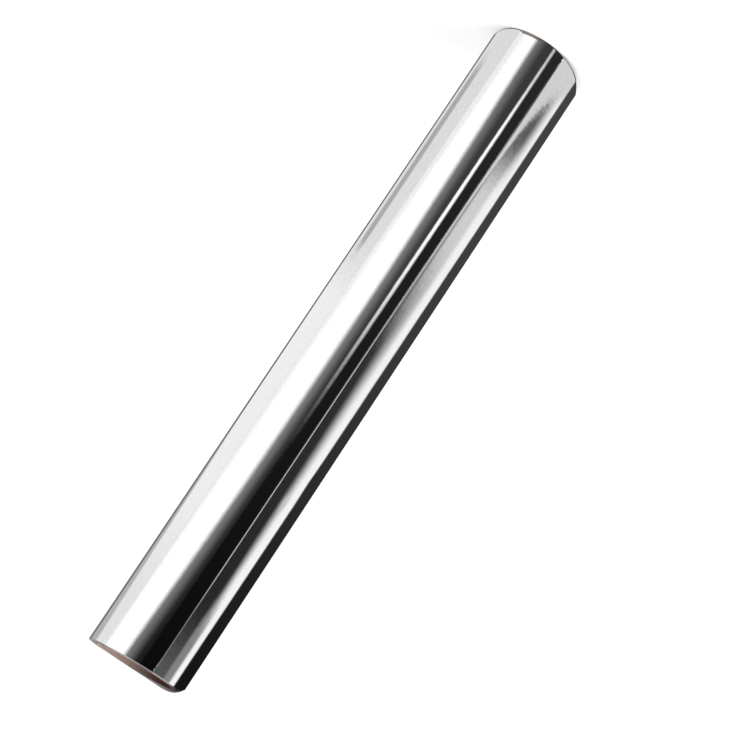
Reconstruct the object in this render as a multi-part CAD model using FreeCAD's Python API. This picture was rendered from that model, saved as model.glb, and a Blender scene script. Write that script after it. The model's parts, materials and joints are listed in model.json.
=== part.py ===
"""A roll of household aluminium foil: foil wound in a spiral on a paperboard tube, standing on its end.

Millimetres. The tube's axis is +Z, and the origin is on that axis, at the end that the roll stands on.
"""

import FreeCAD
import Part
import os

Vector = FreeCAD.Vector
UP = Vector(0, 0, 1)

# Roll
roll_length = 300.0

# Core: a plain paperboard tube, cut to the foil's width
core_outer_diameter = 35.0
core_wall = 1.5
core_outer_radius = core_outer_diameter / 2
core_bore_radius = core_outer_radius - core_wall

# Foil: each modelled turn stands for a bundle of the real turns, which are 0.015 mm thick
turn_count = 9
turn_pitch = 0.42
turn_gap = 0.18

# How deep the gaps between the turns show on both ends
gap_depth = 0.6

# Where the foil's free edge lies on the outside, counted from +X towards +Y
free_edge_angle = -22.0

# The spiral is drawn in half turns. The first turn is bonded to the tube, so its gap starts half a turn on.
HALF_TURNS_PER_TURN = 2
FIRST_OPEN_HALF_TURN = 1
last_half_turn = turn_count * HALF_TURNS_PER_TURN


def half_turn_arc(index, inset):
    """Half a turn of the spiral, moved inwards by inset.

    Every half turn is a semicircle whose radius is half a pitch more than the one before. Even ones are centred
    on the core's axis, and odd ones half a pitch beside it, so that each one meets the next smoothly.
    """
    even = index % 2 == 0
    centre_x = 0.0 if even else turn_pitch / 2
    side = 1 if even else -1
    radius = core_outer_radius + index * turn_pitch / 2 - inset
    start = Vector(centre_x + side * radius, 0, 0)
    middle = Vector(centre_x, side * radius, 0)
    end = Vector(centre_x - side * radius, 0, 0)
    return Part.Arc(start, middle, end)


def spiral(first, last, inset=0.0):
    """The half turns from first up to last, as a list of arcs that meet end to end."""
    return [half_turn_arc(index, inset) for index in range(first, last)]


def closed_face(curves):
    """The flat face inside a loop of curves."""
    edges = [curve.toShape() for curve in curves]
    return Part.Face(Part.Wire(Part.__sortEdges__(edges)))


def raised(face, bottom, height):
    """The solid that a flat face sweeps from bottom upwards."""
    solid = face.copy()
    solid.translate(UP * bottom)
    return solid.extrude(UP * height)


def make_cardboard_core():
    outside = Part.makeCylinder(core_outer_radius, roll_length)
    bore = Part.makeCylinder(core_bore_radius, roll_length)
    return outside.cut(bore)


def make_foil_winding():
    """The wound foil as one solid, with its turns open on both ends and its free edge down the outside."""
    last_turn = spiral(last_half_turn - HALF_TURNS_PER_TURN, last_half_turn)
    free_edge = Part.LineSegment(last_turn[-1].EndPoint, last_turn[0].StartPoint)
    section = closed_face(last_turn + [free_edge])

    # the gap under each turn lies on the turn below it
    gap_first = FIRST_OPEN_HALF_TURN
    gap_last = last_half_turn - HALF_TURNS_PER_TURN
    gap_inside = spiral(gap_first, gap_last)
    gap_outside = spiral(gap_first, gap_last, inset=-turn_gap)
    gap_start = Part.LineSegment(gap_inside[0].StartPoint, gap_outside[0].StartPoint)
    gap_mouth = Part.LineSegment(gap_inside[-1].EndPoint, gap_outside[-1].EndPoint)
    gap = closed_face(gap_inside + gap_outside + [gap_start, gap_mouth])

    core_space = Part.makeCylinder(core_outer_radius, roll_length)
    lower_gap = raised(gap, 0, gap_depth)
    upper_gap = raised(gap, roll_length - gap_depth, gap_depth)
    winding = raised(section, 0, roll_length).cut([core_space, lower_gap, upper_gap])
    winding.rotate(Vector(0, 0, 0), UP, free_edge_angle)
    return winding


def write_node(name, shape):
    solids = shape.Solids
    if len(solids) != 1 or not solids[0].isValid():
        raise ValueError(name + " is not one valid solid")
    solids[0].exportStep("parts/" + name + ".step")
    print(name, "volume", round(solids[0].Volume, 1), "faces", len(solids[0].Faces))


os.makedirs("parts", exist_ok=True)
write_node("cardboard_core", make_cardboard_core())
write_node("foil_winding", make_foil_winding())
print("outer diameter", core_outer_diameter + 2 * turn_count * turn_pitch)
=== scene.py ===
import json
import math

import bmesh
import bpy
from mathutils import Matrix, Vector, noise


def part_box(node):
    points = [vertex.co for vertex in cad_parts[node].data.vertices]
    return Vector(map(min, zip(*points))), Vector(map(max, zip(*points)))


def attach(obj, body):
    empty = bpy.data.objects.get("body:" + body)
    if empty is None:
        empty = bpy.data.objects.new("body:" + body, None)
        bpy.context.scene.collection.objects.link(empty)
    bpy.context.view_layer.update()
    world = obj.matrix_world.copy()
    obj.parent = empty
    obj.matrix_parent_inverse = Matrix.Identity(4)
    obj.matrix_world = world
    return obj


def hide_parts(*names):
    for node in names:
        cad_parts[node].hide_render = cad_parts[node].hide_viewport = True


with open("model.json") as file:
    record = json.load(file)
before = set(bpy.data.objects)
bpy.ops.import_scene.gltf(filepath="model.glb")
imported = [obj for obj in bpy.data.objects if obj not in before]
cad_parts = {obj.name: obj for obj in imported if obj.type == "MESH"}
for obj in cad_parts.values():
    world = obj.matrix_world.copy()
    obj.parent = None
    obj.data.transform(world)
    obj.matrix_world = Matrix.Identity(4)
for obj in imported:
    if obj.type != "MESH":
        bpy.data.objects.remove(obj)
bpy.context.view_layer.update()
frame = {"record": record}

# A roll of household aluminium foil on a paperboard tube. It stands on its end: +Z runs up the tube's axis.
# Every size is in metres.

MM = 0.001
WINDING_NODE = "foil_winding"
CORE_NODE = "cardboard_core"
FULL_TURN = 2 * math.pi

# Sizes that the frame gives
roll_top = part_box(WINDING_NODE)[1][2]
core_radius = (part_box(CORE_NODE)[1][0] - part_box(CORE_NODE)[0][0]) / 2
mounts = {mount["name"]: mount for mount in frame["record"]["mounts"]}
bore_radius = mounts["core_bore"]["dims"]["r_mm"] * MM

# The frame's winding has a few thick turns. The outermost one lies round TURNS_WITHIN others, and rises by
# one step on its way round to the foil's free edge.
TURNS_WITHIN = 8
edge_step = 0.42 * MM
low_radius = core_radius + TURNS_WITHIN * edge_step

# The free edge runs down the outside slightly askew: its angle from +X at the foot, and how far it turns by
# the top
edge_foot_angle = math.radians(-23.3)
edge_skew = math.radians(4.7)

# Edges that bend by more than this are sharp
SHARP_ANGLE = math.radians(38)

# The curve from display values to light, both from 0 to 1: straight for the darkest values, then a power
STRAIGHT_END = 0.04045
STRAIGHT_DIVISOR = 12.92
CURVE_OFFSET = 0.055
CURVE_DIVISOR = 1.055
CURVE_POWER = 2.4


def linear(value):
    """The light that shows as this display value."""
    if value <= STRAIGHT_END:
        return value / STRAIGHT_DIVISOR
    return ((value + CURVE_OFFSET) / CURVE_DIVISOR) ** CURVE_POWER


def colour(red, green, blue):
    """A colour given by its display values from 0 to 255, as the shaders take it."""
    return (linear(red / 255), linear(green / 255), linear(blue / 255), 1.0)


def smooth(value, low, high):
    """0 below low, 1 above high, and an even S between them."""
    share = min(1.0, max(0.0, (value - low) / (high - low)))
    return share * share * (3 - 2 * share)


def turn_from(centre, angle):
    """The turn from centre to angle by the shorter way round."""
    return (angle - centre + math.pi) % FULL_TURN - math.pi


# Node helpers

def new_material(name):
    """A material with its node tree and its shader."""
    material = bpy.data.materials.new(name)
    material.use_nodes = True
    return material, material.node_tree, material.node_tree.nodes["Principled BSDF"]


def feed(tree, socket, value):
    """Give a socket a number, a colour or another node's output."""
    if isinstance(value, bpy.types.NodeSocket):
        tree.links.new(value, socket)
    else:
        socket.default_value = value


def math_node(tree, operation, *values, clamp=False):
    """A Math node's output. Each value is a number or another node's output."""
    node = tree.nodes.new("ShaderNodeMath")
    node.operation = operation
    node.use_clamp = clamp
    for socket, value in zip(node.inputs, values):
        feed(tree, socket, value)
    return node.outputs[0]


def product(tree, first, second):
    """first times second."""
    return math_node(tree, "MULTIPLY", first, second)


def difference(tree, first, second):
    """first less second."""
    return math_node(tree, "SUBTRACT", first, second)


def opposite(tree, share):
    """1 where a share is 0, and 0 where it is 1."""
    return difference(tree, 1.0, share)


def turn_share(tree, x, y):
    """The angle of a point from +X, as a share of a full turn."""
    return math_node(tree, "DIVIDE", math_node(tree, "ARCTAN2", y, x), FULL_TURN)


def axes(tree, vector):
    """The X, Y and Z of a vector."""
    parts = tree.nodes.new("ShaderNodeSeparateXYZ")
    tree.links.new(vector, parts.inputs["Vector"])
    return parts.outputs["X"], parts.outputs["Y"], parts.outputs["Z"]


def smooth_node(tree, value, low, high):
    """smooth() as a node: low and high are numbers or outputs."""
    node = tree.nodes.new("ShaderNodeMapRange")
    node.interpolation_type = "SMOOTHSTEP"
    for name, item in (("Value", value), ("From Min", low), ("From Max", high)):
        feed(tree, node.inputs[name], item)
    return node.outputs["Result"]


def mix_colours(tree, factor, first, second):
    """first where factor is 0, second where it is 1. Each is a colour or an output."""
    node = tree.nodes.new("ShaderNodeMix")
    node.data_type = "RGBA"
    for socket, value in ((node.inputs[0], factor), (node.inputs[6], first), (node.inputs[7], second)):
        feed(tree, socket, value)
    return node.outputs[2]


def noise_node(tree, scales, detail, roughness=0.5):
    """Noise that follows the surface, with its own scale along X, Y and Z."""
    place = tree.nodes.new("ShaderNodeTexCoord")
    stretch = tree.nodes.new("ShaderNodeMapping")
    stretch.inputs["Scale"].default_value = scales
    tree.links.new(place.outputs["Object"], stretch.inputs["Vector"])
    node = tree.nodes.new("ShaderNodeTexNoise")
    node.inputs["Scale"].default_value = 1.0
    node.inputs["Detail"].default_value = detail
    node.inputs["Roughness"].default_value = roughness
    tree.links.new(stretch.outputs["Vector"], node.inputs["Vector"])
    return node.outputs["Fac"]


def bump(tree, height, distance, before=None):
    """The normal that a height map gives, with distance as its full height."""
    node = tree.nodes.new("ShaderNodeBump")
    node.inputs["Distance"].default_value = distance
    tree.links.new(height, node.inputs["Height"])
    if before is not None:
        tree.links.new(before, node.inputs["Normal"])
    return node.outputs["Normal"]


# Materials

def foil_material():
    """Bright rolled foil: fine rolling lines round the roll, a faint mottle and uneven gloss."""
    speck_dark = colour(233, 234, 235)
    speck_light = colour(255, 255, 255)
    speck_scale = (1100, 1100, 900)
    line_scale = (18, 18, 2600)
    line_depth = 0.002 * MM
    mottle_scale = (700, 700, 260)
    mottle_depth = 0.006 * MM
    patch_scale = (60, 60, 25)
    least_rough = 0.015
    most_rough = 0.06

    material, tree, shader = new_material("bright_foil")
    shader.inputs["Metallic"].default_value = 1.0
    specks = noise_node(tree, speck_scale, detail=2)
    lines = noise_node(tree, line_scale, detail=3)
    mottle = noise_node(tree, mottle_scale, detail=2)
    patches = noise_node(tree, patch_scale, detail=3)
    tree.links.new(mix_colours(tree, specks, speck_dark, speck_light), shader.inputs["Base Color"])
    normal = bump(tree, mottle, mottle_depth, bump(tree, lines, line_depth))
    tree.links.new(normal, shader.inputs["Normal"])
    gloss = tree.nodes.new("ShaderNodeMapRange")
    gloss.inputs["To Min"].default_value = least_rough
    gloss.inputs["To Max"].default_value = most_rough
    tree.links.new(patches, gloss.inputs["Value"])
    tree.links.new(gloss.outputs["Result"], shader.inputs["Roughness"])
    return material


def layer_rings(tree, x, y):
    """The radius, and uneven rings from 0, dark, to 1, light, that follow the foil's spiral."""
    contrast = (0.36, 0.64)
    radius = math_node(tree, "SQRT", math_node(tree, "MULTIPLY_ADD", y, y, product(tree, x, x)))
    layer = difference(tree, math_node(tree, "DIVIDE", radius, edge_step), turn_share(tree, x, y))
    rings = tree.nodes.new("ShaderNodeTexNoise")
    rings.noise_dimensions = "1D"
    rings.inputs["Scale"].default_value = 0.8
    rings.inputs["Detail"].default_value = 4
    rings.inputs["Roughness"].default_value = 0.75
    tree.links.new(layer, rings.inputs["W"])
    return radius, smooth_node(tree, rings.outputs["Fac"], *contrast)


def foil_ends_material():
    """The cut edges of many turns, seen end on: rings of lighter and darker silver, with painted shade
    towards -Y and painted contact shade round the foot.
    """
    ring_dark = colour(138, 136, 135)
    ring_light = colour(246, 245, 244)
    grain_grey = colour(140, 136, 132)
    grain_scale = (2600, 2600, 300)
    grain_share = 0.3
    grain_depth = 0.03 * MM
    # Below, a pair is where a change along an axis, or outwards, starts and where it ends.
    # painted shade darkens the edges towards -Y
    painted_shade_brown = colour(98, 84, 82)
    painted_shade_share = 0.6
    painted_shade_y = (-19 * MM, -7 * MM)
    # painted contact shade lies on the outermost turns at the foot, and is paler towards +X
    foot_shade_dark = colour(62, 50, 48)
    foot_shade_pale = colour(138, 126, 120)
    foot_shade_pale_x = (12 * MM, 18 * MM)
    foot_shade_top = (8 * MM, 11 * MM)
    foot_shade_radius = (19.9 * MM, 20.5 * MM)
    # towards +Y the edges are crushed and scatter the light
    crushed_y = (15 * MM, 19.5 * MM)
    crushed_share = 0.85

    material, tree, shader = new_material("foil_turn_edges")
    shader.inputs["Roughness"].default_value = 0.3
    place = tree.nodes.new("ShaderNodeTexCoord")
    x, y, z = axes(tree, place.outputs["Object"])
    radius, rings = layer_rings(tree, x, y)
    grain = noise_node(tree, grain_scale, detail=3)
    silver = mix_colours(tree, rings, ring_dark, ring_light)
    silver = mix_colours(tree, product(tree, grain, grain_share), silver, grain_grey)
    # painted shade: the turns' edges darker brown towards -Y
    painted_shade_side = opposite(tree, smooth_node(tree, y, *painted_shade_y))
    silver = mix_colours(tree, product(tree, painted_shade_side, painted_shade_share), silver, painted_shade_brown)
    # painted contact shade on the outermost turns at the foot
    foot = opposite(tree, smooth_node(tree, z, *foot_shade_top))
    foot = product(tree, foot, smooth_node(tree, radius, *foot_shade_radius))
    painted_foot_shade = mix_colours(tree, smooth_node(tree, x, *foot_shade_pale_x), foot_shade_dark, foot_shade_pale)
    tree.links.new(mix_colours(tree, foot, silver, painted_foot_shade), shader.inputs["Base Color"])
    crushed = smooth_node(tree, y, *crushed_y)
    tree.links.new(math_node(tree, "MULTIPLY_ADD", crushed, -crushed_share, 1.0), shader.inputs["Metallic"])
    tree.links.new(bump(tree, grain, grain_depth), shader.inputs["Normal"])
    return material


def spiral_seam(tree, place):
    """1 on the seam between the strips that the tube is wound from, on its upright faces, and 0 elsewhere."""
    # how far a seam rises in a full turn, and its start and half width as shares of that
    strip_rise = 62 * MM
    seam_start = 0.66
    seam_half = 0.009
    # how far up or down an upright face may point
    flattest = 0.5
    x, y, z = axes(tree, place.outputs["Object"])
    rise = math_node(tree, "MULTIPLY_ADD", z, 1 / strip_rise, seam_start)
    # 0 at one strip's middle, 0.5 at the seam and 1 at the next strip's middle
    strip = math_node(tree, "FRACT", difference(tree, rise, turn_share(tree, x, y)))
    off_seam = math_node(tree, "ABSOLUTE", difference(tree, strip, 0.5))
    seam = math_node(tree, "LESS_THAN", off_seam, seam_half)
    facing_z = axes(tree, place.outputs["Normal"])[2]
    upright = math_node(tree, "LESS_THAN", math_node(tree, "ABSOLUTE", facing_z), flattest)
    return product(tree, seam, upright)


def board_material():
    """Kraft paperboard: short fibres, blotches, a spiral seam and painted shade inside the mouth."""
    fibre_dark = colour(160, 138, 126)
    fibre_light = colour(216, 195, 183)
    fibre_scale = (900, 900, 2400)
    fibre_depth = 0.05 * MM
    blotch_brown = colour(166, 140, 128)
    blotch_scale = (70, 70, 40)
    blotch_share = 0.35
    seam_brown = colour(84, 64, 54)
    seam_share = 0.6
    seam_depth = 0.15 * MM
    # painted shade: the inside of the mouth goes dark reddish brown towards -Y: where that starts and ends
    # along an axis
    mouth_shade_brown = colour(82, 53, 53)
    mouth_shade_z = (roll_top - 30 * MM, roll_top - 12 * MM)
    mouth_shade_y = (-14 * MM, 15 * MM)

    material, tree, shader = new_material("kraft_paperboard")
    shader.inputs["Roughness"].default_value = 0.9
    shader.inputs["Specular IOR Level"].default_value = 0.25
    place = tree.nodes.new("ShaderNodeTexCoord")
    y, z = axes(tree, place.outputs["Object"])[1:]
    seam = spiral_seam(tree, place)
    fibres = noise_node(tree, fibre_scale, detail=4, roughness=0.65)
    blotches = noise_node(tree, blotch_scale, detail=3)
    brown = mix_colours(tree, fibres, fibre_dark, fibre_light)
    brown = mix_colours(tree, product(tree, blotches, blotch_share), brown, blotch_brown)
    brown = mix_colours(tree, product(tree, seam, seam_share), brown, seam_brown)
    # painted shade inside the mouth, darker towards -Y
    inner_shade_depth = smooth_node(tree, z, *mouth_shade_z)
    inner_shade_side = opposite(tree, smooth_node(tree, y, *mouth_shade_y))
    brown = mix_colours(tree, product(tree, inner_shade_depth, inner_shade_side), brown, mouth_shade_brown)
    tree.links.new(brown, shader.inputs["Base Color"])
    normal = bump(tree, product(tree, seam, -1.0), seam_depth)
    tree.links.new(bump(tree, fibres, fibre_depth, normal), shader.inputs["Normal"])
    return material


# The winding: how finely it is drawn

COLUMNS = 216
FINE_TURNS = 27
# the outside's rows near each end, in mm from it, and how many steps lie between the two
END_ROWS = (0.0, 0.17, 0.34, 0.5, 0.9, 1.4, 2.1, 3.2, 5.0)
MIDDLE_STEPS = 130
# the winding's second material
ENDS_MATERIAL = 1

# Where the rows of one turn lie between that turn and the next: the gap's inner lip, both sides of its floor,
# and its outer lip
ROW_SHARES = (0.0, 0.05, 0.36, 0.42)
GAP_FLOOR_ROWS = (1, 2)
ROWS_PER_TURN = len(ROW_SHARES)
LAST_ROW = FINE_TURNS * ROWS_PER_TURN
fine_pitch = (low_radius - core_radius) / FINE_TURNS
GAP_DEPTH = 0.3 * MM

# How unevenly the turns stand on the ends. A slow and a quick noise along the spiral share it, each given by
# how much it changes in a turn and its place in the noise.
TURN_SCATTER = 0.22 * MM
SCATTER_NOISES = [(0.9, 3.7), (4.3, 9.1)]

# Where the ends of the outer turns are pushed in: top or not, angle from +X and half width in degrees, and
# how far at the outside in mm, below 0 where they stand out from the askew top
PUSHED_IN = [
    (True, -92, 22, 2.4),
    (True, -133, 26, -0.8),
    (True, 150, 24, 0.4),
    (False, -80, 31, 5.0),
    (False, -38, 24, 0.9),
    (False, 95, 32, 3.2),
]
# how the push grows from the tube outwards, and how far from an end the outside still follows it
PUSH_POWER = 1.6
PUSH_REACH = 30 * MM

# The top stands a little askew: this much lower at the axis than at its highest point, at an angle from +X
TOP_SKEW = 0.85 * MM
TOP_SKEW_ANGLE = math.radians(62)

# Slow waves and ripples of the outside: depth, and how quickly they change round the roll and up it
WAVES = [
    (0.05 * MM, 1.3, 9),
    (0.035 * MM, 3.1, 24),
]
# Gentle dents of the outside: angle in degrees, then in mm height, half width round, half height and depth
DENTS = [
    (-38.5, 216, 0.9, 2.2, 0.06),
    (-60, 205, 2.6, 5.0, 0.06),
    (28, 120, 5.0, 16.0, 0.05),
    (-75, 60, 4.0, 12.0, 0.07),
    (150, 90, 4.0, 9.0, 0.12),
    (205, 210, 3.0, 6.0, 0.12),
    (118, 255, 5.0, 10.0, 0.08),
]

# The outermost turn bends inwards over its last part at both ends
RIM_ROUND = 0.12 * MM
RIM_REACH = 0.5 * MM

# The foil's last strip before the free edge stands up a little, and rises to that over LIFT_ENDS at both ends
LIFT_WIDTH = 0.31 * MM
LIFT = 0.11 * MM
LIFT_ENDS = 4 * MM
lift_angle = LIFT_WIDTH / low_radius

# The slot under the free edge: the lip over it, how deep it reaches under, how high its bottom lies as a
# share of the step, and how far from both ends it opens
LIP = 0.18 * MM
SLOT_REACH = 1.6 * MM
SLOT_FLOOR = 0.12
SLOT_OPENS = (0.6 * MM, 4 * MM)
# the row at which it starts, further in than the gap between the last two turns is deep
SLOT_ROW = 3

# A thin line of painted contact shade runs round the foot of the outside, thicker at one place: its angle and
# half width, the outside's rows that it takes, and how many more it takes there
FOOT_SHADE_ANGLE = math.radians(21)
FOOT_SHADE_HALF = math.radians(17)
FOOT_SHADE_FADE = 0.5
FOOT_LINE_ROWS = 3
FOOT_SHADE_ROWS = 2


def step_share(angle):
    """How much of the step the outside has risen at an angle past the free edge, from 0 to 1 in a full turn.

    The outside is two half turns: one centred on the axis, the other half a step beside it and larger.
    """
    if angle <= math.pi:
        return 0.0
    half_step = edge_step / 2
    radius = low_radius + half_step
    reach = half_step * math.cos(angle)
    outside = reach + math.sqrt(radius * radius - (half_step * math.sin(angle)) ** 2)
    return (outside - low_radius) / edge_step


def row_radius(row):
    """Radius of a row of the end face at the free edge's angle, just past the edge."""
    turn, place = divmod(row, ROWS_PER_TURN)
    if row < LAST_ROW:
        return core_radius + (turn + ROW_SHARES[place]) * fine_pitch
    return low_radius + ROW_SHARES[place] * edge_step if turn == FINE_TURNS else low_radius + edge_step


def radius_at(row, angle):
    """A row's radius at an angle past the free edge. A turn on, it meets the same row of the next turn."""
    start = row_radius(row)
    return start + (row_radius(row + ROWS_PER_TURN) - start) * step_share(angle)


def edge_angle(height):
    """The free edge's angle from +X at a height."""
    return edge_foot_angle + edge_skew * height / roll_top


def skew_at(angle, radius):
    """How much lower the askew top is at an angle and radius than at its highest point."""
    return TOP_SKEW * max(0.0, 1 - radius * math.cos(angle - TOP_SKEW_ANGLE) / low_radius)


def pushed_in(top, angle, radius):
    """How far an end lies inside the end's plane at an angle and radius, apart from its turns' unevenness."""
    outwards = min(1.0, max(0.0, (radius - core_radius) / (low_radius - core_radius)))
    total = skew_at(angle, radius) if top else 0.0
    for at_top, centre, half_width, depth in PUSHED_IN:
        if at_top == top:
            aside = turn_from(math.radians(centre), angle) / math.radians(half_width)
            total += depth * MM * math.exp(-aside ** 2) * outwards ** PUSH_POWER
    return total


def height_drop(row, angle, top):
    """How far a row of an end lies inside the end's plane: turns stand unevenly, with gaps between them."""
    turns = row // ROWS_PER_TURN + angle / FULL_TURN
    noises = [noise.noise(Vector((turns * change, place, 0))) for change, place in SCATTER_NOISES]
    uneven = sum(noises) / len(noises)
    lip = TURN_SCATTER * (0.5 + 0.5 * uneven)
    gap = GAP_DEPTH if row % ROWS_PER_TURN in GAP_FLOOR_ROWS else 0.0
    return lip + gap + pushed_in(top, angle + edge_angle(roll_top if top else 0.0), radius_at(row, angle))


def dent_depth(angle, height):
    """How far the outside is pressed in at an angle and height: slow waves, ripples and a few dents."""
    depth = 0.0
    for wave_depth, change_round, change_up in WAVES:
        place = Vector((math.cos(angle) * change_round, math.sin(angle) * change_round, height * change_up))
        depth += wave_depth * (0.5 + 0.5 * noise.noise(place))
    for dent_angle, dent_height, half_width, half_height, deep in DENTS:
        across = turn_from(math.radians(dent_angle), angle) * low_radius / (half_width * MM)
        along = (height - dent_height * MM) / (half_height * MM)
        depth += deep * MM * math.exp(-(across * across + along * along))
    return depth


def outside_radius(angle, height):
    """The outside's radius at an angle past the free edge: the last turn with its dents, lift and rims."""
    away = min(height, roll_top - height)
    rim = max(0.0, 1.0 - away / RIM_REACH)
    lift = LIFT * max(0.0, 1 - (FULL_TURN - angle) / lift_angle) * smooth(away, 0, LIFT_ENDS)
    pressed = dent_depth(angle + edge_angle(height), height) + RIM_ROUND * rim * rim
    return radius_at(LAST_ROW, angle) + lift - pressed


def skin_height(angle, height):
    """The height of the outside's row at an angle: near both ends the rows follow the pushed-in turns."""
    for top in (False, True):
        away = roll_top - height if top else height
        if away < PUSH_REACH:
            inwards = pushed_in(top, angle + edge_angle(height), low_radius) * (1 - away / PUSH_REACH)
            return height - inwards if top else height + inwards
    return height


def skin_heights():
    """Heights of the outside's rows, closer together near both ends."""
    low = [height * MM for height in END_ROWS]
    high = [roll_top - height for height in reversed(low)]
    span = high[0] - low[-1]
    middle = [low[-1] + span * step / MIDDLE_STEPS for step in range(1, MIDDLE_STEPS)]
    return low + middle + high


def add_vertex(mesh, radius, angle, height):
    """A vertex at an angle past the free edge."""
    whole = angle + edge_angle(height)
    return mesh.verts.new((radius * math.cos(whole), radius * math.sin(whole), height))


def add_face(mesh, corners, flip=False):
    """A smooth face. A corner that comes twice counts once, and fewer than 3 corners give no face."""
    kept = list(dict.fromkeys(corners))
    if len(kept) < 3:
        return None
    face = mesh.faces.new(reversed(kept) if flip else kept)
    face.smooth = True
    return face


def new_piece(name, mesh, *materials):
    """An object of a mesh and its materials."""
    data = bpy.data.meshes.new(name)
    mesh.to_mesh(data)
    mesh.free()
    data.set_sharp_from_angle(angle=SHARP_ANGLE)
    for material in materials:
        data.materials.append(material)
    piece = bpy.data.objects.new(name, data)
    bpy.context.collection.objects.link(piece)
    return piece


def make_end(mesh, turn_angles, top):
    """The spiral of fine turns on one end. Gives its vertices, as lines from the tube outwards."""
    last = len(turn_angles) - 1
    lines = []
    for column, angle in enumerate(turn_angles):
        line = []
        for row in range(LAST_ROW + 1):
            # a full turn on is the same point as the next turn's row
            if column == last and row + ROWS_PER_TURN <= LAST_ROW:
                line.append(lines[0][row + ROWS_PER_TURN])
                continue
            drop = height_drop(row, angle, top)
            height = roll_top - drop if top else drop
            radius = outside_radius(angle, height) if row == LAST_ROW else radius_at(row, angle)
            line.append(add_vertex(mesh, radius, angle, height))
        lines.append(line)
    for near, far in zip(lines, lines[1:]):
        for row in range(LAST_ROW):
            face = add_face(mesh, (near[row], near[row + 1], far[row + 1], far[row]), flip=not top)
            if face:
                face.material_index = ENDS_MATERIAL
    return lines


def make_outside(mesh, turn_angles, heights, foot, head):
    """The outside between both ends' outermost rows. Gives its vertices, as lines from the foot up."""
    skin = []
    for angle, foot_line, head_line in zip(turn_angles, foot, head):
        line = [foot_line[LAST_ROW]]
        for height in heights[1:-1]:
            line.append(add_vertex(mesh, outside_radius(angle, height), angle, skin_height(angle, height)))
        line.append(head_line[LAST_ROW])
        skin.append(line)
    for angle, near, far in zip(turn_angles, skin, skin[1:]):
        # the lowest rows take the ends' material, whose painted contact shade makes a dark line round the
        # foot
        off_shade = abs(angle + edge_foot_angle - FOOT_SHADE_ANGLE) / FOOT_SHADE_HALF
        shaded_rows = FOOT_LINE_ROWS + round(FOOT_SHADE_ROWS * smooth(1 - off_shade, 0, FOOT_SHADE_FADE))
        for row in range(len(heights) - 1):
            face = add_face(mesh, (near[row], far[row], far[row + 1], near[row + 1]))
            if row < shaded_rows:
                face.material_index = ENDS_MATERIAL
    return skin


def make_free_edge(mesh, heights, skin, foot, head):
    """The free edge: a thin lip with a narrow slot under it, which closes towards both ends."""
    top_row = len(heights) - 1
    lip_line = [None]
    slot_line = [None]
    for height in heights[1:-1]:
        reach = SLOT_REACH * smooth(min(height, roll_top - height), *SLOT_OPENS)
        outside = outside_radius(FULL_TURN, height)
        inside = outside_radius(0.0, height)
        slot_radius = inside + (outside - inside) * SLOT_FLOOR
        row_height = skin_height(0.0, height)
        lip_line.append(add_vertex(mesh, outside - LIP, 0.0, row_height))
        slot_line.append(add_vertex(mesh, slot_radius, -reach / low_radius, row_height))
    edge_lines = [skin[-1], lip_line, slot_line, skin[0]]
    for outer, inner in zip(edge_lines, edge_lines[1:]):
        for row in range(SLOT_ROW, top_row - SLOT_ROW):
            add_face(mesh, (outer[row], inner[row], inner[row + 1], outer[row + 1]))

    # near both ends one flat face closes the step
    for top, end in ((False, foot), (True, head)):
        rim = [end[-1][row] for row in range(LAST_ROW, LAST_ROW - ROWS_PER_TURN - 1, -1)]
        rows = [top_row - row if top else row for row in range(1, SLOT_ROW + 1)]
        inside = [skin[0][row] for row in rows[:-1]]
        wall = [line[rows[-1]] for line in reversed(edge_lines)]
        outside = [skin[-1][row] for row in reversed(rows[:-1])]
        add_face(mesh, rim + inside + wall + outside, flip=top)


def close_inside(mesh, foot, head):
    """The first turn's inside, which the tube hides, and the small wall where that turn starts."""
    for column in range(len(foot) - 1):
        after = column + 1
        add_face(mesh, (foot[column][0], head[column][0], head[after][0], foot[after][0]))
    start = [foot[0][row] for row in range(ROWS_PER_TURN + 1)]
    finish = [head[0][row] for row in range(ROWS_PER_TURN, -1, -1)]
    add_face(mesh, start + finish)


def make_winding():
    """All the turns as one closed mesh: the outside, fine turns on both ends, and the free edge."""
    mesh = bmesh.new()
    heights = skin_heights()
    turn_angles = [FULL_TURN * column / COLUMNS for column in range(COLUMNS + 1)]
    turn_angles.insert(COLUMNS, FULL_TURN - lift_angle)
    foot = make_end(mesh, turn_angles, False)
    head = make_end(mesh, turn_angles, True)
    skin = make_outside(mesh, turn_angles, heights, foot, head)
    make_free_edge(mesh, heights, skin, foot, head)
    close_inside(mesh, foot, head)

    # the lifted strip starts with a crease
    mesh.verts.index_update()
    crease = {vertex.index for vertex in skin[-2]}
    piece = new_piece("foil_turns", mesh, foil_material(), foil_ends_material())
    for edge in piece.data.edges:
        if edge.vertices[0] in crease and edge.vertices[1] in crease:
            edge.use_edge_sharp = True
    return piece


# The tube

TUBE_COLUMNS = 192
BORE_STEPS = 60
# the plies' edges on the cut ends: share of the wall from the bore outwards, and how far in they lie in mm
PLY_EDGES = [(0.0, 0.05), (0.3, 0.0), (0.34, 0.10), (0.66, 0.10), (0.7, 0.0), (1.0, 0.05)]
# the cut is a little fuzzy: how near an end, by how much, and how quickly that changes round the tube and
# across its wall
CUT_REACH = 0.5 * MM
CUT_FUZZ = 0.05 * MM
FUZZ_ROUND = 9
FUZZ_ACROSS = 4000


def tube_section():
    """The section as (radius, height), from the bore's foot up, over the top and back under the foot."""
    wall = core_radius - bore_radius
    foot = [(bore_radius + wall * share, drop * MM) for share, drop in PLY_EDGES]
    head = [(radius, roll_top - drop) for radius, drop in foot]
    bore = []
    for step in range(1, BORE_STEPS):
        share = step / BORE_STEPS
        bore.append((bore_radius, head[0][1] * share + foot[0][1] * (1 - share)))
    return bore + head + list(reversed(foot))


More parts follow.
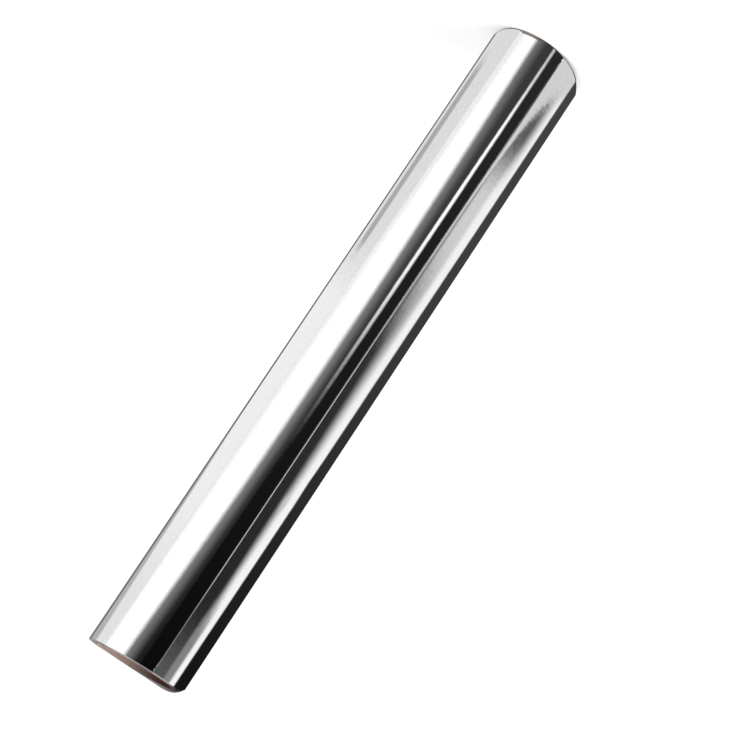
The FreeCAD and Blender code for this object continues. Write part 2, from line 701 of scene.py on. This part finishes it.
def make_core():
    """The paperboard tube, with a slightly rough cut at both ends where its plies show."""
    mesh = bmesh.new()
    section = tube_section()
    rings = []
    for column in range(TUBE_COLUMNS):
        angle = FULL_TURN * column / TUBE_COLUMNS
        x, y = math.cos(angle), math.sin(angle)
        ring = []
        for radius, height in section:
            if min(height, roll_top - height) < CUT_REACH:
                fuzz = noise.noise(Vector((x * FUZZ_ROUND, y * FUZZ_ROUND, radius * FUZZ_ACROSS)))
                inwards = CUT_FUZZ * (1 + fuzz)
                height += inwards if height < roll_top / 2 else -inwards - skew_at(angle, radius)
            ring.append(mesh.verts.new((radius * x, radius * y, height)))
        rings.append(ring)
    for near, far in zip(rings, rings[1:] + rings[:1]):
        for index in range(len(section)):
            after = (index + 1) % len(section)
            add_face(mesh, (near[index], near[after], far[after], far[index]))
    bmesh.ops.recalc_face_normals(mesh, faces=mesh.faces)
    return new_piece("paperboard_tube", mesh, board_material())


winding = make_winding()
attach(winding, "root")
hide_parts(WINDING_NODE)

core = make_core()
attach(core, "root")
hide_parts(CORE_NODE)


# The studio: what the foil mirrors, all round it. Each part is a softbox, a card or a dark flag, and covers
# what stands above it in the list.
# A bearing is in degrees from the camera's side of the roll, and grows towards -Y. The foil near the roll's
# foot mirrors what is low in the studio, and the foil near its top what is just under the horizon. So a
# bearing, a softness or a light has its value at LOW_ELEVATION and its value at HIGH_ELEVATION, and may have
# how far it bows away from the straight line between them. Height runs from 0 to 1 between the two.
LOW_ELEVATION = -21.1
HIGH_ELEVATION = -5.2

# a bearing past all others
ALL_ROUND = 200
# the bearing at which the foil to the right of its free edge starts
FREE_EDGE_BEARING = (46.9, 38.1)
LOW_CARD = "low card"
CEILING = "bright ceiling"

# name, start, its softness, end, its softness, heights (start, softness, end, softness), light as displayed
STUDIO = [
    ("soft room", -ALL_ROUND, 1, ALL_ROUND, 1, None, (0.93, 0.97)),
    ("left pale card", -ALL_ROUND, 1, (-70, -84), 10, None, (0.89, 0.92)),
    ("left card, upper", -ALL_ROUND, 1, (-72, -88), 10, (0.39, 0.1, 0.86, 0.24), 0.97),
    ("left strip", (-137.5, -121), 6, (-115, -106), 5, (0.045, 0.04, 0.355, 0.04), 0.69),
    ("left card, top", -ALL_ROUND, 1, (-137, -120, -18), 8, (0.7, 0.12, 2, 1), 0.72),
    ("key softbox", (-70, -84), 10, 40, 10, None, 1.06),
    ("key softbox edge", (-70, -84), 10, (-58, -84), 16, None, 0.96),
    ("key softbox foot", (-27, -33.1, 12), 13.5, 130, 4, None, (0.46, 0.46, 0.05)),
    ("grey flag", (-11.5, -15, 9.5), 26, 130, 4, None, (0.23, 0.12, 0.05)),
    ("dark flag", (20, 5), 6, 130, 2, None, (0.16, 0.05)),
    ("slit", (16.7, 6.6, -1.3), 4, (21.7, 9.6, 1.6), 5.8, (0.0, 0.3, 0.43, 0.42), 1.1),
    ("right room", FREE_EDGE_BEARING, 1, ALL_ROUND, 1, None, (0.98, 1.0)),
    ("right card", FREE_EDGE_BEARING, 1, (84, 86), 16, (-1, 1, 0.44, 0.2), 0.84),
    ("right dim card", FREE_EDGE_BEARING, 1, (93, 90), 36, (0.024, 0.03, 0.148, 0.1), 0.35),
    ("free edge's shade", (50.3, 41.5), 3, (55.5, 46.7), 7, (0.13, 0.08, 2, 1), 0.6),
    ("right dark flag", FREE_EDGE_BEARING, 1, (73, 75.5, 2), (66, 14), (0.36, 0.22, 2, 1), (0.24, 0.15)),
    ("right room, top", FREE_EDGE_BEARING, 1, 68, 10, (0.95, 0.14, 2, 1), 0.36),
    ("right card, top", 66, 9, 86.5, 10, (0.89, 0.1, 2, 1), 0.53),
    (LOW_CARD, None, None, None, None, None, 0.845),
    (CEILING, None, None, None, None, None, 0.8),
    ("back flag right", (114.7, 102.7), 7, ALL_ROUND, 1, None, (0.27, 0.08, 0.04)),
    ("back flag left", -ALL_ROUND, 1, (-152, -148), 5, None, 0.45),
]

# The low card ends where the bearing past the free edge, with a lead, times the height reaches
# LOW_CARD_CURVE, and at LOW_CARD_END. Each of its edges has its own softness.
LOW_CARD_SIDE_SOFTNESS = 2
LOW_CARD_LEAD = 3
LOW_CARD_CURVE = 1.5
LOW_CARD_CURVE_SOFTNESS = 0.2
LOW_CARD_END = 116
LOW_CARD_END_SOFTNESS = 8

# Elevations between which the ceiling begins, and between which the flags behind the roll end
CEILING_START = (4.0, 12.0)
BACK_FLAGS_END = (16.0, 36.0)

# The light of the room on what isn't a mirror
ROOM_LIGHT = 0.75
WHITE = (1, 1, 1, 1)


def studio_value(tree, spec, height, bow):
    """A value of the studio at a height: a number, or its values low and high with its bow."""
    if isinstance(spec, (int, float)):
        return spec
    low, high = spec[:2]
    value = math_node(tree, "MULTIPLY_ADD", height, high - low, low)
    if len(spec) > 2:
        value = math_node(tree, "MULTIPLY_ADD", bow, spec[2], value)
    return value


def step_up(tree, value, centre, softness):
    """0 below centre and 1 above it, crossed over the softness."""
    half = product(tree, softness, 0.5)
    return smooth_node(tree, value, difference(tree, centre, half), math_node(tree, "ADD", centre, half))


def band(tree, value, start, start_soft, end, end_soft):
    """1 between start and end and 0 outside them, each crossed over its own softness."""
    rise = step_up(tree, value, start, start_soft)
    fall = step_up(tree, value, end, end_soft)
    return product(tree, rise, opposite(tree, fall))


def low_card_cover(tree, bearing, past_edge, height):
    """1 where the low card shows. Its upper edge comes down as the bearing grows."""
    card = band(tree, past_edge, 0.0, LOW_CARD_SIDE_SOFTNESS, ALL_ROUND, LOW_CARD_SIDE_SOFTNESS)
    led = math_node(tree, "ADD", past_edge, LOW_CARD_LEAD)
    over = step_up(tree, product(tree, led, height), LOW_CARD_CURVE, LOW_CARD_CURVE_SOFTNESS)
    past_end = step_up(tree, bearing, LOW_CARD_END, LOW_CARD_END_SOFTNESS)
    return product(tree, product(tree, card, opposite(tree, over)), opposite(tree, past_end))


def displayed(tree, value):
    """linear() as nodes, without its straight part for the darkest values."""
    share = math_node(tree, "MULTIPLY_ADD", value, 1 / CURVE_DIVISOR, CURVE_OFFSET / CURVE_DIVISOR)
    return math_node(tree, "POWER", share, CURVE_POWER)


def studio_light(tree):
    """The light that comes from each direction of the studio."""
    direction = tree.nodes.new("ShaderNodeTexCoord")
    x, y, z = axes(tree, direction.outputs["Generated"])
    degree = math.pi / 180
    bearing = math_node(tree, "DIVIDE", math_node(tree, "ARCTAN2", product(tree, y, -1.0), x), degree)
    elevation = math_node(tree, "DIVIDE", math_node(tree, "ARCSINE", z), degree)
    above_low = difference(tree, elevation, LOW_ELEVATION)
    height = math_node(tree, "DIVIDE", above_low, HIGH_ELEVATION - LOW_ELEVATION, clamp=True)
    # 0 at both elevations and 1 halfway
    bow = product(tree, product(tree, height, opposite(tree, height)), 4.0)
    past_edge = difference(tree, bearing, studio_value(tree, FREE_EDGE_BEARING, height, bow))

    light = 1.0
    for name, start, start_soft, end, end_soft, heights, value in STUDIO:
        if name == LOW_CARD:
            cover = low_card_cover(tree, bearing, past_edge, height)
        elif name == CEILING:
            cover = smooth_node(tree, elevation, *CEILING_START)
        else:
            specs = (start, start_soft, end, end_soft)
            cover = band(tree, bearing, *[studio_value(tree, spec, height, bow) for spec in specs])
        if heights:
            cover = product(tree, cover, band(tree, height, *heights))
        if name.startswith("back flag"):
            cover = product(tree, cover, opposite(tree, smooth_node(tree, elevation, *BACK_FLAGS_END)))
        own = displayed(tree, studio_value(tree, value, height, bow))
        change = product(tree, cover, difference(tree, own, light))
        light = math_node(tree, "ADD", light, change)
    return light


def background(tree, strength=1.0):
    """A white background of a strength."""
    node = tree.nodes.new("ShaderNodeBackground")
    node.inputs["Color"].default_value = WHITE
    node.inputs["Strength"].default_value = strength
    return node


def for_rays(tree, rays, others, own):
    """A shader that is own for the named rays and others for the rest."""
    path = tree.nodes.new("ShaderNodeLightPath")
    node = tree.nodes.new("ShaderNodeMixShader")
    tree.links.new(path.outputs[rays], node.inputs["Fac"])
    tree.links.new(others, node.inputs[1])
    tree.links.new(own, node.inputs[2])
    return node.outputs["Shader"]


def make_world():
    """White to the camera, the studio to mirrors, and an even soft light to everything else."""
    world = bpy.data.worlds.new("studio")
    bpy.context.scene.world = world
    world.use_nodes = True
    tree = world.node_tree
    tree.nodes.clear()
    grey = tree.nodes.new("ShaderNodeCombineColor")
    light = studio_light(tree)
    for socket in grey.inputs:
        tree.links.new(light, socket)
    mirrored = background(tree)
    tree.links.new(grey.outputs["Color"], mirrored.inputs["Color"])
    room = background(tree, ROOM_LIGHT)
    lit = for_rays(tree, "Is Glossy Ray", room.outputs["Background"], mirrored.outputs["Background"])
    seen = for_rays(tree, "Is Camera Ray", lit, background(tree).outputs["Background"])
    out = tree.nodes.new("ShaderNodeOutputWorld")
    tree.links.new(seen, out.inputs["Surface"])


def make_floor():
    """A white floor that keeps the roll's shadow. The foil mirrors the studio's low parts instead of it."""
    half = 30.0
    # the camera sees it this much brighter than it is lit, so that it comes out white round the roll
    glow = 0.42
    corners = [(-half, -half, 0), (half, -half, 0), (half, half, 0), (-half, half, 0)]
    data = bpy.data.meshes.new("floor")
    data.from_pydata(corners, [], [(0, 1, 2, 3)])
    floor = bpy.data.objects.new("floor", data)
    bpy.context.collection.objects.link(floor)
    floor.visible_glossy = False
    material, tree, shader = new_material("white_floor")
    shader.inputs["Base Color"].default_value = (0.8, 0.8, 0.8, 1)
    shader.inputs["Roughness"].default_value = 0.9
    shader.inputs["Specular IOR Level"].default_value = 0.0
    shader.inputs["Emission Color"].default_value = WHITE
    path = tree.nodes.new("ShaderNodeLightPath")
    tree.links.new(product(tree, path.outputs["Is Camera Ray"], glow), shader.inputs["Emission Strength"])
    data.materials.append(material)


def make_lamp():
    """A soft lamp above the roll, which casts its shadow on the floor. The foil doesn't mirror it."""
    place = Vector((0.9, -0.9, 1.6))
    target = Vector((0, 0, 0.1))
    data = bpy.data.lights.new("overhead", "AREA")
    data.size = 0.9
    data.energy = 16
    lamp = bpy.data.objects.new("overhead", data)
    lamp.location = place
    lamp.rotation_euler = (target - place).to_track_quat("-Z", "Y").to_euler()
    lamp.visible_glossy = False
    lamp.visible_camera = False
    bpy.context.collection.objects.link(lamp)


def make_camera():
    """The photo's view: just above the top end and close to it, with the picture turned so that the roll lies
    across it from the lower left to the upper right."""
    place = Vector((1.0, 0.0, 0.38687))
    aim = Vector((0.0, -0.015455, 0.150079))
    picture_turn = math.radians(-146.628)
    data = bpy.data.cameras.new("camera")
    data.sensor_width = 36
    data.lens = 123.54
    data.clip_start = 0.01
    data.clip_end = 100
    camera = bpy.data.objects.new("camera", data)
    level = (aim - place).to_track_quat("-Z", "Y").to_matrix().to_4x4()
    camera.matrix_world = Matrix.Translation(place) @ level @ Matrix.Rotation(picture_turn, 4, "Z")
    bpy.context.collection.objects.link(camera)
    bpy.context.scene.camera = camera


make_world()
make_floor()
make_lamp()
make_camera()
bpy.context.scene.view_settings.view_transform = "Standard"
